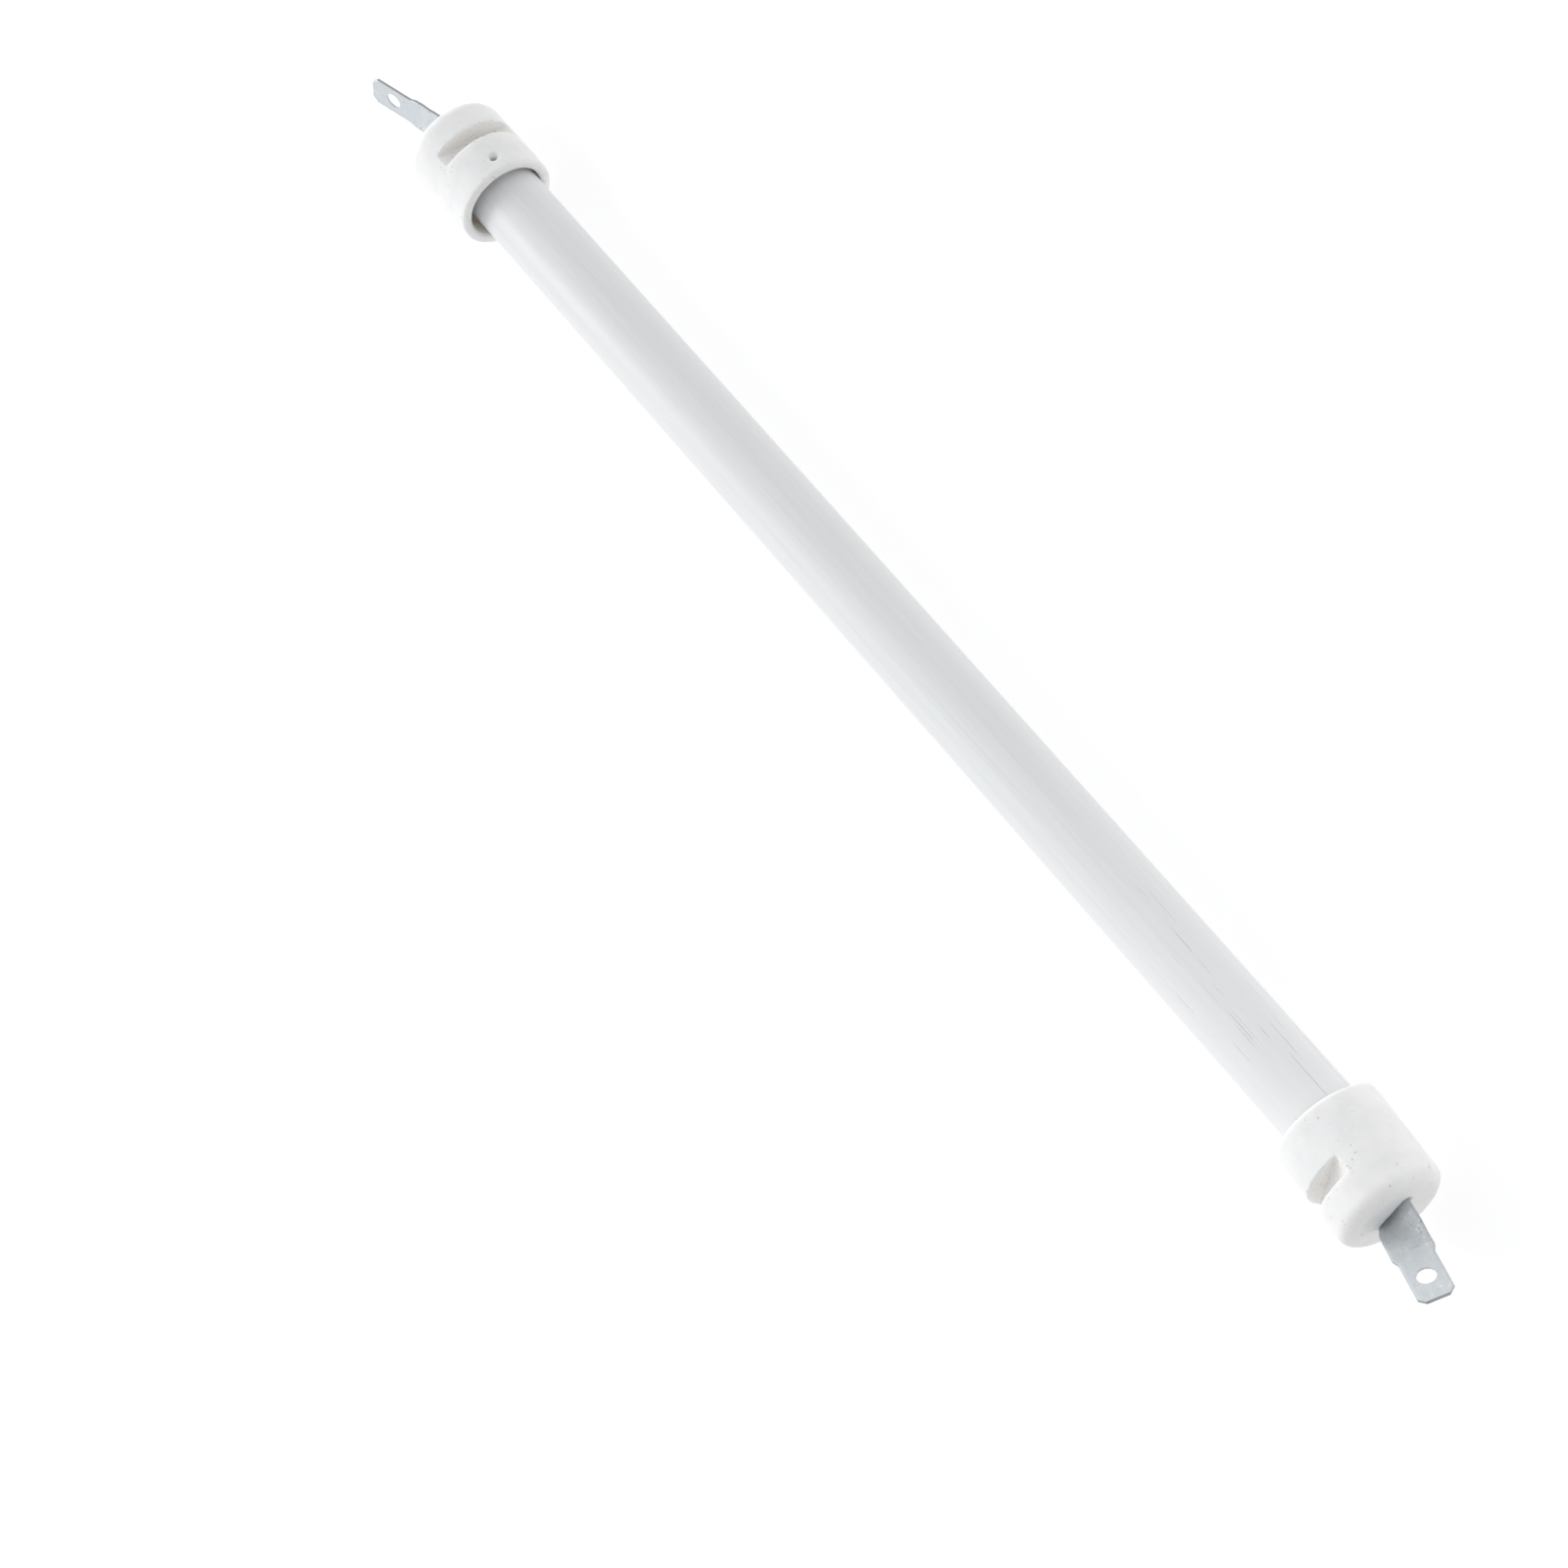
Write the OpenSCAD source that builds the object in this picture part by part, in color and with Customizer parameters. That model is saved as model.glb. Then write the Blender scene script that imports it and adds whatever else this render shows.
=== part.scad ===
// Quartz infrared heating tube: a milky quartz tube with a heating coil inside,
// a loose ceramic cap on each end, and a twisted blade terminal through each cap.
// The right cap's axis is X, with the origin midway between the caps and the left end at -X.
// The tube lies loose in the caps' sockets, so its own axis is a little lower, and the left cap
// sits cocked on the tube's end.

/* [Quartz tube] */
// Outside diameter of the quartz tube
tube_d = 12; // [11.6:0.1:12.4]
// Wall thickness of the quartz tube
tube_wall = 1; // [0.8:0.1:1.2]
// How far the tube lies below the middle of its sockets
tube_drop = 0.8; // [0:0.05:0.8]

/* [Ceramic caps] */
// Distance between the outer faces of the two caps
caps_apart = 244; // [200:1:400]
// Outside diameter of a cap
cap_d = 17.2; // [17:0.1:18]
// Length of a cap
cap_len = 17; // [16.8:0.1:20]
// Diameter of the socket that the tube sits in
socket_d = 13.7; // [13.4:0.1:14]
// Depth of that socket
socket_depth = 6.8; // [6:0.1:6.9]
// Rounding of the cap's outer end
cap_end_round = 2; // [1:0.1:2.4]
// Rounding of the cap's open end
cap_mouth_round = 0.7; // [0.4:0.1:1]
// Diameter of the vent in the right cap's wall
vent_d = 1.6; // [1:0.1:2]
// Distance of the vent from the cap's open end
vent_x = 3.2; // [2:0.1:6]

/* [Bracket slot] */
// Width of the slot that a sheet metal bracket fits
slot_w = 2.9; // [2.6:0.1:3.4]
// Distance from the open end of the cap to the slot
slot_x = 8; // [7.8:0.1:9]
// Distance from the cap's axis to the slot's flat floor
slot_floor = 5.2; // [4.6:0.1:6]

/* [Blade terminals] */
// Width of the blade in the cap
blade_w = 6.4; // [6:0.1:6.5]
// Width of the tab at the blade's end
tab_w = 5.46; // [5:0.02:5.6]
// Thickness of the blade
blade_t = 0.5; // [0.4:0.05:0.6]
// Length of the tab, from its shoulders to its tip
tab_len = 8; // [7:0.1:9]
// Diameter of the hole in the tab
tab_hole_d = 2.9; // [2:0.1:3]
// Distance from the hole's centre to the tip
tab_hole_x = 4.4; // [4:0.1:5]
// Clearance at each edge of the blade in its channel
blade_side_gap = 0.3; // [0.2:0.05:0.6]
// Clearance on each face of the blade in its channel
blade_face_gap = 0.8; // [0.5:0.05:0.9]

/* [Rest position of each end] */
// Angle between the left cap's axis and the tube
left_cock = 4.8; // [0:0.1:5]
// Side to which the left cap's outer end is raised, from straight up
left_cock_side = 17; // [0:1:30]
// How far the left cap has dropped on the tube
left_sink = 0.3; // [0.2:0.05:0.4]
// Turn of the left cap about its axis
left_roll = 26; // [0:1:180]
// Turn of the right cap about its axis
right_roll = 63; // [0:1:180]
// Length of the left blade outside its cap
left_out = 16.6; // [15:0.1:18]
// Length of the right blade outside its cap
right_out = 17.4; // [15:0.1:18]
// Twist of the left blade outside its cap
left_twist = -47; // [-60:1:0]
// Bend of the left blade across its face
left_bend = -20; // [-30:1:0]
// Bend of the left blade toward one edge
left_skew = -12; // [-20:1:5]
// Where the left blade's twist ends, from the cap's outer face
left_twist_end = 4.8; // [3.4:0.1:6.5]
// Middle of the left blade's bend, from the cap's outer face
left_bend_at = 0; // [0:0.1:1.2]
// Twist of the right blade outside its cap
right_twist = -61; // [-65:1:0]
// Bend of the right blade across its face
right_bend = -18; // [-30:1:0]
// Bend of the right blade toward one edge
right_skew = -3; // [-20:1:5]
// Where the right blade's twist ends, from the cap's outer face
right_twist_end = 3.6; // [3.4:0.1:6.5]
// Middle of the right blade's bend, from the cap's outer face
right_bend_at = 1.2; // [0:0.1:1.2]

/* [Heating coil] */
// Outside diameter of the coil
coil_d = 7; // [6.6:0.1:7.4]
// Thickness of the resistance wire
wire_d = 0.6; // [0.5:0.1:0.8]
// Number of turns
coil_turns = 56; // [20:1:60]

/* [Hidden] */
$fn = 96;
eps = 0.01;

ceramic_color = [0.93, 0.92, 0.90];
quartz_color = [0.90, 0.91, 0.92];
steel_color = [0.66, 0.69, 0.71];
nickel_color = [0.72, 0.71, 0.68];
wire_color = [0.42, 0.40, 0.38];

cap_r = cap_d / 2;
// How each blade is shaped: twist, bend, skew, where the twist ends, length outside the cap and
// where the bend is
left_set = [left_twist, left_bend, left_skew, left_twist_end, left_out, left_bend_at];
right_set = [right_twist, right_bend, right_skew, right_twist_end, right_out, right_bend_at];

mouth_x = caps_apart / 2 - cap_len;   // open end of the right cap
end_wall = cap_len - socket_depth;    // solid part of a cap
tube_end_gap = 1.2;                   // room between the tube's end and the socket's floor
tube_in = socket_depth - tube_end_gap;
tube_len = 2 * (mouth_x + tube_in);
cock_pivot = [-cap_len + tube_in / 2, 0, 0];

channel_roll = -32;                   // the channel's long side, turned from the slot's floor
channel_w = blade_w + 2 * blade_side_gap;
channel_h = blade_t + 2 * blade_face_gap;

wire_sides = 5;
wire_steps = 10;                      // straight steps in one turn of the coil
coil_core = (coil_d / 2 - wire_d) * cos(180 / wire_steps);
head_r = coil_core - 0.05;            // the pin's head turns freely in the coil
head_len = 7;
shank_r = 1;
barrel_t = 0.6;                       // wall of the crimp barrel
barrel_len = 6;
barrel_open = 50;                     // angle of the gap along the crimp barrel
neck_w = 2;
neck_len = 4;                         // from the barrel to the full width of the blade
barrel_x = -end_wall - neck_len - 1;  // outer end of the barrel, from the cap's outer face
head_x = barrel_x - barrel_len - 1;   // outer face of the pin's head
neck_drop = shank_r + barrel_t / 2 + 0.02;

// An end's parts are drawn with the cap's outer face at x = 0 and the blade along +X.
module at_right() {
    translate([caps_apart / 2, 0, 0]) children();
}

module at_left() {
    rotate([0, 0, 180]) at_right() translate(cock_pivot - [0, 0, left_sink])
        rotate([left_cock_side, 0, 0]) rotate([0, -left_cock, 0]) rotate([-left_cock_side, 0, 0])
            translate(-cock_pivot) children();
}

// A rod along X from x = 0.
module rod(r, len) {
    rotate([0, 90, 0]) cylinder(r = r, h = len);
}

module tube_shape() {
    translate([-tube_len / 2, 0, -tube_drop]) difference() {
        rod(tube_d / 2, tube_len);
        translate([-1, 0, 0]) rod(tube_d / 2 - tube_wall, tube_len + 2);
    }
}

// ---- ceramic cap, from its open end at -cap_len to its outer face at 0 ----

module cap_outline() {
    land = cap_len - cap_end_round - cap_mouth_round;
    translate([0, cap_mouth_round]) square([cap_r, land]);
    square([cap_r - cap_mouth_round, cap_mouth_round + land]);
    translate([cap_r - cap_mouth_round, cap_mouth_round]) circle(r = cap_mouth_round);
    square([cap_r - cap_end_round, cap_len]);
    translate([cap_r - cap_end_round, cap_len - cap_end_round]) circle(r = cap_end_round);
}

module blade_channel() {
    side = (channel_w - channel_h) / 2;
    rotate([channel_roll, 0, 0]) translate([-end_wall - 1, 0, 0]) {
        translate([0, -side, -channel_h / 2]) cube([end_wall + 2, 2 * side, channel_h]);
        for (y = [-side, side]) translate([0, y, 0]) rod(channel_h / 2, end_wall + 2);
    }
}

module cap_shape(roll, vented) {
    mouth_edge = 0.4;
    rotate([roll, 0, 0]) difference() {
        translate([-cap_len, 0, 0]) rotate([90, 0, 90]) rotate_extrude() cap_outline();
        translate([-cap_len - 1, 0, 0]) rod(socket_d / 2, socket_depth + 1);
        translate([-cap_len, 0, 0]) rotate([0, 90, 0]) translate([0, 0, -eps])
            cylinder(r1 = socket_d / 2 + mouth_edge, r2 = socket_d / 2, h = mouth_edge);
        translate([-cap_len + slot_x, -cap_r, slot_floor]) cube([slot_w, cap_d, cap_r]);
        blade_channel();
        if (vented) {
            translate([-cap_len + vent_x, 0, 0]) rotate([-5, 0, 0])
                cylinder(d = vent_d, h = cap_r + 1);
        }
    }
}

// ---- blade terminal, leaving the cap's outer face at x = 0 ----

// Smooth step from 0 to 1 as s goes from a to b.
function ease(s, a, b) =
    let (t = min(1, max(0, (s - a) / (b - a)))) t * t * (3 - 2 * t);

function spin(a, v) = [v[0], cos(a) * v[1] - sin(a) * v[2], sin(a) * v[1] + cos(a) * v[2]];
function tilt(b, v) = [cos(b) * v[0] + sin(b) * v[2], v[1], -sin(b) * v[0] + cos(b) * v[2]];
function skew(c, v) = [cos(c) * v[0] - sin(c) * v[1], sin(c) * v[0] + cos(c) * v[1], v[2]];

// Turns v as the blade is turned at distance s outside the cap: twisted, then bent and skewed.
function turned(s, set, v) =
    let (bent = ease(s, set[5] - 1.2, set[5] + 1.2))
    spin(set[0] * ease(s, set[5] - 1, set[3]), tilt(set[1] * bent, skew(set[2] * bent, v)));

shoulder_len = 1.1;
tab_chamfer = 1;

// Where the shoulders begin on a blade whose tip is at distance out.
function full_to(out) = out - tab_len - shoulder_len;

// Width of the blade at distance s from the cap's outer face.
function width_at(s, out) =
    s < 0 ? neck_w + (blade_w - neck_w) * ease(s, -end_wall - neck_len, -end_wall - 1)
    : s < full_to(out) ? blade_w
    : s < out - tab_len ? blade_w - (blade_w - tab_w) * (s - full_to(out)) / shoulder_len
    : tab_w - 2 * max(0, s - (out - tab_chamfer));

// The neck drops from the axis to the crimp barrel's wall.
function drop_at(s) = -neck_drop * (1 - ease(s, -end_wall - neck_len + 0.5, -end_wall - 1));

// Distances along the blade at which it has a cross-section.
inner_steps = [for (s = [-end_wall - neck_len - 2 : 0.5 : -end_wall]) s];
function steps_to(out) = concat(
    inner_steps,
    [for (s = [-1.2 : 0.4 : full_to(out) - 0.1]) s],
    [full_to(out), out - tab_len, out - tab_chamfer, out]);

// Middle line of the blade, one point for each step.
function line_from(i, p, steps, set) =
    i + 1 >= len(steps) ? [p]
    : let (a = steps[i], b = steps[i + 1], ahead = turned((a + b) / 2, set, [1, 0, 0]))
      concat([p], line_from(i + 1, p + (b - a) * ahead, steps, set));

function blade_line(set) = let (steps = steps_to(set[4])) line_from(0, [steps[0], 0, 0], steps, set);

// Four corners of the blade's cross-section at distance s, about p.
function section(s, p, set) =
    let (w = width_at(s, set[4]) / 2, t = blade_t / 2, z = drop_at(s))
    [for (c = [[0, -w, z - t], [0, w, z - t], [0, w, z + t], [0, -w, z + t]])
        p + turned(s, set, c)];

module blade_strip(set) {
    line = blade_line(set);
    steps = steps_to(set[4]);
    n = len(steps);
    points = [for (i = [0 : n - 1]) each section(steps[i], line[i], set)];
    walls = [for (i = [0 : n - 2], k = [0 : 3])
        [4 * i + k, 4 * i + (k + 1) % 4, 4 * i + 4 + (k + 1) % 4, 4 * i + 4 + k]];
    triangles = [for (q = walls) each [[q[0], q[2], q[1]], [q[0], q[3], q[2]]]];
    far_end = [for (k = [1 : 4]) 4 * n - k];
    polyhedron(points, concat([[0, 1, 2, 3]], triangles, [far_end]));
}

module crimp_barrel() {
    translate([barrel_x - barrel_len, 0, 0]) rotate([90, 0, 90]) rotate([0, 0, 90 + barrel_open / 2])
        rotate_extrude(angle = 360 - barrel_open)
            translate([shank_r, 0]) square([barrel_t, barrel_len]);
}

module blade_shape(roll, set) {
    line = blade_line(set);
    tip = line[len(line) - 1];
    rotate([roll + channel_roll, 0, 0]) {
        difference() {
            blade_strip(set);
            translate(tip) rotate([set[0], 0, 0]) rotate([0, set[1], 0]) rotate([0, 0, set[2]])
                translate([-tab_hole_x, 0, -blade_t]) cylinder(d = tab_hole_d, h = 2 * blade_t);
        }
        crimp_barrel();
    }
}

// ---- lead pin: a shank in the crimp barrel, and a head that the coil's end turns sit on ----

module pin_shape() {
    translate([head_x - head_len, 0, 0]) rod(head_r, head_len);
    translate([head_x - 1, 0, 0]) rod(shank_r, barrel_len + 2.5);
}

// ---- heating coil: round wire wound evenly from one pin's head to the other's ----

// Where the cocked left end takes a point that is given in an end's own place.
function cocked(v) =
    let (turn = spin(left_cock_side, tilt(-left_cock, spin(-left_cock_side, v - cock_pivot))))
    cock_pivot - [0, 0, left_sink] + turn;

// The coil's left end lies in line with the left pin, and the rest along X.
function settled(p) =
    let (end = cocked([-p[0] - caps_apart / 2, -p[1], p[2]]),
         pin_in = caps_apart / 2 + head_x - head_len,
         part = ease(-p[0], pin_in - 25, pin_in - 1))
    p + part * ([-end[0] - caps_apart / 2, -end[1], end[2]] - p);

module coil_shape() {
    ends = caps_apart / 2 + head_x - 1.5;
    n = coil_turns * wire_steps;
    wire_r = wire_d / 2;
    mean_r = coil_d / 2 - wire_r;
    last = wire_sides - 1;
    points = [for (i = [0 : n], k = [0 : last])
        let (a = 360 * i / wire_steps,
             r = mean_r + wire_r * cos(360 * k / wire_sides),
             x = ends * (2 * i / n - 1) + wire_r * sin(360 * k / wire_sides))
        settled([x, r * cos(a), r * sin(a)])];
    walls = [for (i = [0 : n - 1], k = [0 : last])
        let (a = wire_sides * i + k, b = wire_sides * i + (k + 1) % wire_sides)
        each [[a, b + wire_sides, b], [a, a + wire_sides, b + wire_sides]]];
    first_end = [for (k = [0 : last]) k];
    last_end = [for (k = [0 : last]) wire_sides * n + last - k];
    polyhedron(points, concat([first_end], walls, [last_end]));
}

// ---- nodes ----

module quartz_tube() { color(quartz_color) tube_shape(); }
module heating_coil() { color(wire_color) coil_shape(); }
module left_ceramic_cap() { color(ceramic_color) at_left() cap_shape(left_roll, false); }
module left_blade_terminal() { color(steel_color) at_left() blade_shape(left_roll, left_set); }
module left_lead_pin() { color(nickel_color) at_left() pin_shape(); }
module right_ceramic_cap() { color(ceramic_color) at_right() cap_shape(right_roll, true); }
module right_blade_terminal() { color(steel_color) at_right() blade_shape(right_roll, right_set); }
module right_lead_pin() { color(nickel_color) at_right() pin_shape(); }

quartz_tube();
heating_coil();
left_ceramic_cap();
left_blade_terminal();
left_lead_pin();
right_ceramic_cap();
right_blade_terminal();
right_lead_pin();
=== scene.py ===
import math
import random

import bmesh
import bpy
import numpy as np
from mathutils import Matrix, Quaternion, Vector, noise


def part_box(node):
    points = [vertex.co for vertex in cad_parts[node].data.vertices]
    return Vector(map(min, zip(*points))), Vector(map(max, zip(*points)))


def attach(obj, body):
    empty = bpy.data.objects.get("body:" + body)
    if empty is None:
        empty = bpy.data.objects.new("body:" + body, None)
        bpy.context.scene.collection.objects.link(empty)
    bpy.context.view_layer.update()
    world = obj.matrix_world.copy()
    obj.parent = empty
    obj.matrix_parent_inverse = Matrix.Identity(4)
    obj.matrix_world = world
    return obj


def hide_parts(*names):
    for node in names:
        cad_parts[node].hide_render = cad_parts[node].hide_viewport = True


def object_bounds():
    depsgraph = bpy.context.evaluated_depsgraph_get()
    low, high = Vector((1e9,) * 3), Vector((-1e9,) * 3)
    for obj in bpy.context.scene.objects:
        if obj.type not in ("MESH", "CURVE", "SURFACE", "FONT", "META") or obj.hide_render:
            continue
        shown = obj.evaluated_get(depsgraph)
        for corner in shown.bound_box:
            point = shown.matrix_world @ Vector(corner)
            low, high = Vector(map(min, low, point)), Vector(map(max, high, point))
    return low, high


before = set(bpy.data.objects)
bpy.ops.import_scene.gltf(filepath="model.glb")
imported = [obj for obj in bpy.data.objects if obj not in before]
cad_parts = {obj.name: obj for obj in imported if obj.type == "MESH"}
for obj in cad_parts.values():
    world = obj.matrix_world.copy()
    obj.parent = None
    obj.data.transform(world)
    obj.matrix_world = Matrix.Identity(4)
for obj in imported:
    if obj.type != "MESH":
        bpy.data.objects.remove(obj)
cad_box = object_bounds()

# A milky quartz heating tube with a ceramic cap and a blade terminal at each end.
# The tube lies along X. Its left end is at -X and its right end at +X.
# Meshes are drawn in millimetres and put in the frame, in metres, by put_in_frame().
# An end's pieces are drawn with the cap's outer face at x = 0 and the blade along +X.

MM = 0.001

# ---- sizes, in millimetres, from the frame where it gives them ----

cap_low, cap_high = (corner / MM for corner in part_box("right_ceramic_cap"))
tube_low, tube_high = (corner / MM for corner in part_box("quartz_tube"))
OUTER_X = cap_high.x
CAP_LEN = cap_high.x - cap_low.x
CAP_R = (cap_high.y - cap_low.y) / 2
TUBE_LEN = tube_high.x - tube_low.x
TUBE_R = (tube_high.z - tube_low.z) / 2
TUBE_Z = (tube_high.z + tube_low.z) / 2
TUBE_IN = TUBE_LEN / 2 - OUTER_X + CAP_LEN      # how far the tube goes into a cap
FLOOR_Z = cad_box[0].z

TUBE_WALL = 1.0
TUBE_LIP = 0.3                 # fire-polished rounding of the tube's ends

SOCKET_R = 6.85                # of the cap's bore, which takes the tube
SOCKET_DEPTH = 6.8
MOUTH_EDGE = 0.4               # chamfer inside the cap's open end
MOUTH_ROUND = 0.7
END_ROUND = 2.0                # round of the outer face's rim
SLOT_W = 2.9
SLOT_X = 8.0                   # from the cap's open end
SLOT_FLOOR = 5.2               # from the cap's axis
VENT_R = 0.8
VENT_INNER_R = VENT_R - 0.25
VENT_MOUTH_R = VENT_R + 0.15   # its mouth is flared
VENT_FLARE = 0.7
VENT_X = 3.2                   # from the cap's open end
VENT_TURN = -5                 # degrees from the slot's floor
CHANNEL_ROLL = -32             # of the blade's slit, from the slot's floor
CHANNEL_W = 7.0
CHANNEL_H = 2.1
END_WALL = CAP_LEN - SOCKET_DEPTH

BLADE_W = 6.4
TAB_W = 5.46
BLADE_T = 0.5
TAB_LEN = 8.0
TAB_CHAMFER = 1.0
SHOULDER_LEN = 1.1
HOLE_R = 1.45
HOLE_FROM_TIP = 4.4
NECK_W = 2.0                   # where the blade narrows toward the crimp
NECK_LEN = 4.0
BEND_HALF = 1.2                # half the length of the bend outside the cap
TWIST_LEAD = 1                 # from the twist's start to the middle of the bend

SHANK_R = 1.0                  # of the lead pin, inside the crimp barrel
BARREL_T = 0.6
BARREL_LEN = 6.0
BARREL_OPEN = 50               # degrees left open along the crimp
BARREL_X = -END_WALL - NECK_LEN - 1
HEAD_R = 2.7
HEAD_LEN = 7.0
HEAD_X = BARREL_X - BARREL_LEN - 1
NECK_DROP = SHANK_R + BARREL_T / 2 + 0.02

WIRE_R = 0.25
COIL_R = 3.0                   # to the middle of the wire
COIL_TURNS = 140
COIL_IN = 1.5                  # how far the coil's ends stay inside the pins' heads
COIL_SWING = 25                # length in which the coil's left end meets the cocked pin

# Each end: whether it is turned round, the cap's turn in degrees, the blade's length outside
# the cap, whether the cap has a vent, the seed of its chips, and how the blade is twisted and
# bent: angles in degrees, and distances from the cap's outer face
ENDS = {
    "left": {"flip": True, "roll": 26, "out": 16.6, "vent": False, "seed": 5,
             "blade": {"twist": -47, "bend": -20, "skew": -12, "twist_end": 4.8, "bend_at": 0.0}},
    "right": {"flip": False, "roll": 63, "out": 17.4, "vent": True, "seed": 11,
              "blade": {"twist": -61, "bend": -18, "skew": -3, "twist_end": 3.6, "bend_at": 1.2}},
}
LEFT_COCK = 4.8                # degrees between the left cap's axis and the tube
LEFT_COCK_SIDE = 17            # degrees from straight up to the side it is cocked to
LEFT_SINK = 0.3                # how much lower the left cap sits


# ---- mesh helpers ----

def new_piece(name, mesh):
    piece = bpy.data.objects.new(name, mesh)
    bpy.context.scene.collection.objects.link(piece)
    return piece


def mesh_from(name, points, faces):
    mesh = bpy.data.meshes.new(name)
    mesh.from_pydata([tuple(p) for p in points], [], faces)
    mesh.update()
    return mesh


def sweep(name, rings, closed_ends=True):
    """A skin over rings of points, each ring with the same number of points."""
    count = len(rings[0])
    points = [p for ring in rings for p in ring]
    faces = []
    for i in range(len(rings) - 1):
        for k in range(count):
            a = i * count + k
            b = i * count + (k + 1) % count
            faces.append((a, b, b + count, a + count))
    if closed_ends:
        faces.append(tuple(reversed(range(count))))
        last = (len(rings) - 1) * count
        faces.append(tuple(range(last, last + count)))
    return mesh_from(name, points, faces)


def outward(mesh):
    """Turns every face of a closed mesh outward."""
    shape = bmesh.new()
    shape.from_mesh(mesh)
    bmesh.ops.remove_doubles(shape, verts=shape.verts, dist=1e-5)
    bmesh.ops.recalc_face_normals(shape, faces=shape.faces)
    shape.to_mesh(mesh)
    shape.free()
    return mesh


def lathe(name, outline, segments=96):
    """Revolves an outline of (x, radius) about X.

    The outline is a closed loop, or it starts and ends on the axis.
    """
    solid = outline[0][1] == 0
    turns = [2 * math.pi * k / segments for k in range(segments)]
    rings = [[(x, r * math.cos(a), r * math.sin(a)) for a in turns] for x, r in outline]
    if solid:
        rings = rings[1:-1]
        on_axis = len(rings) * segments
        points = [p for ring in rings for p in ring]
        points += [(outline[0][0], 0, 0), (outline[-1][0], 0, 0)]
        mesh = sweep(name, rings, closed_ends=False)
        faces = [tuple(f.vertices) for f in mesh.polygons]
        last = on_axis - segments
        for k in range(segments):
            after = (k + 1) % segments
            faces.append((on_axis, after, k))
            faces.append((on_axis + 1, last + k, last + after))
        mesh = mesh_from(name, points, faces)
    else:
        mesh = sweep(name, rings + [rings[0]], closed_ends=False)
    return outward(mesh)


def arc(cx, cr, radius, start, end, steps=6):
    """Points (x, r) round a centre, from start to end in degrees."""
    angles = [math.radians(start + (end - start) * k / steps) for k in range(steps + 1)]
    return [(cx + radius * math.cos(a), cr + radius * math.sin(a)) for a in angles]


def box_mesh(name, low, high):
    shape = bmesh.new()
    bmesh.ops.create_cube(shape, size=1)
    for vert in shape.verts:
        vert.co = Vector(lo + (hi - lo) * (c + 0.5) for lo, hi, c in zip(low, high, vert.co))
    mesh = bpy.data.meshes.new(name)
    shape.to_mesh(mesh)
    shape.free()
    return mesh


def with_modifiers(piece):
    """Bakes a piece's modifiers into its mesh."""
    graph = bpy.context.evaluated_depsgraph_get()
    mesh = bpy.data.meshes.new_from_object(piece.evaluated_get(graph))
    piece.modifiers.clear()
    piece.data = mesh
    return piece


def cut(piece, cutters):
    """Takes the cutter meshes out of a piece."""
    for mesh in cutters:
        tool = new_piece("cutter", mesh)
        modifier = piece.modifiers.new("cut", "BOOLEAN")
        modifier.operation = "DIFFERENCE"
        modifier.solver = "EXACT"
        modifier.object = tool
        with_modifiers(piece)
        bpy.data.objects.remove(tool)
    return piece


def coordinates(mesh):
    co = np.zeros(len(mesh.vertices) * 3, np.float32)
    mesh.vertices.foreach_get("co", co)
    return co.reshape(-1, 3).astype(float)


def set_coordinates(mesh, co):
    mesh.vertices.foreach_set("co", co.astype(np.float32).ravel())
    mesh.update()


def set_number(mesh, name, values):
    attribute = mesh.attributes.new(name, "FLOAT", "POINT")
    attribute.data.foreach_set("value", values.astype(np.float32))


def set_vector(mesh, name, values):
    attribute = mesh.attributes.new(name, "FLOAT_VECTOR", "POINT")
    attribute.data.foreach_set("vector", values.astype(np.float32).ravel())


def smooth(mesh, sharp_angle=None):
    mesh.shade_smooth()
    if sharp_angle:
        mesh.set_sharp_from_angle(angle=math.radians(sharp_angle))


def end_place(flip):
    """Where an end's pieces go, in millimetres.

    The left end is turned round, and its cap is cocked on the tube.
    """
    place = Matrix.Translation((OUTER_X, 0, 0))
    if not flip:
        return place
    pivot = Vector((TUBE_IN / 2 - CAP_LEN, 0, 0))
    side = Matrix.Rotation(math.radians(LEFT_COCK_SIDE), 4, "X")
    raised = side @ Matrix.Rotation(math.radians(-LEFT_COCK), 4, "Y") @ side.inverted()
    sunk = Matrix.Translation(pivot - Vector((0, 0, LEFT_SINK)))
    return Matrix.Rotation(math.pi, 4, "Z") @ place @ sunk @ raised @ Matrix.Translation(-pivot)


def put_in_frame(mesh, end=None):
    """Moves a mesh drawn in millimetres to its place in the frame."""
    place = Matrix.Scale(MM, 4)
    if end:
        roll = Matrix.Rotation(math.radians(end["roll"]), 4, "X")
        place = place @ end_place(end["flip"]) @ roll
    mesh.transform(place)
    mesh.update()


def finish_piece(piece, body, slot, material, *replaced):
    piece.data.materials.clear()
    piece.data.materials.append(material)
    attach(piece, body)
    if replaced:
        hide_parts(*replaced)


# ---- material helpers ----

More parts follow.
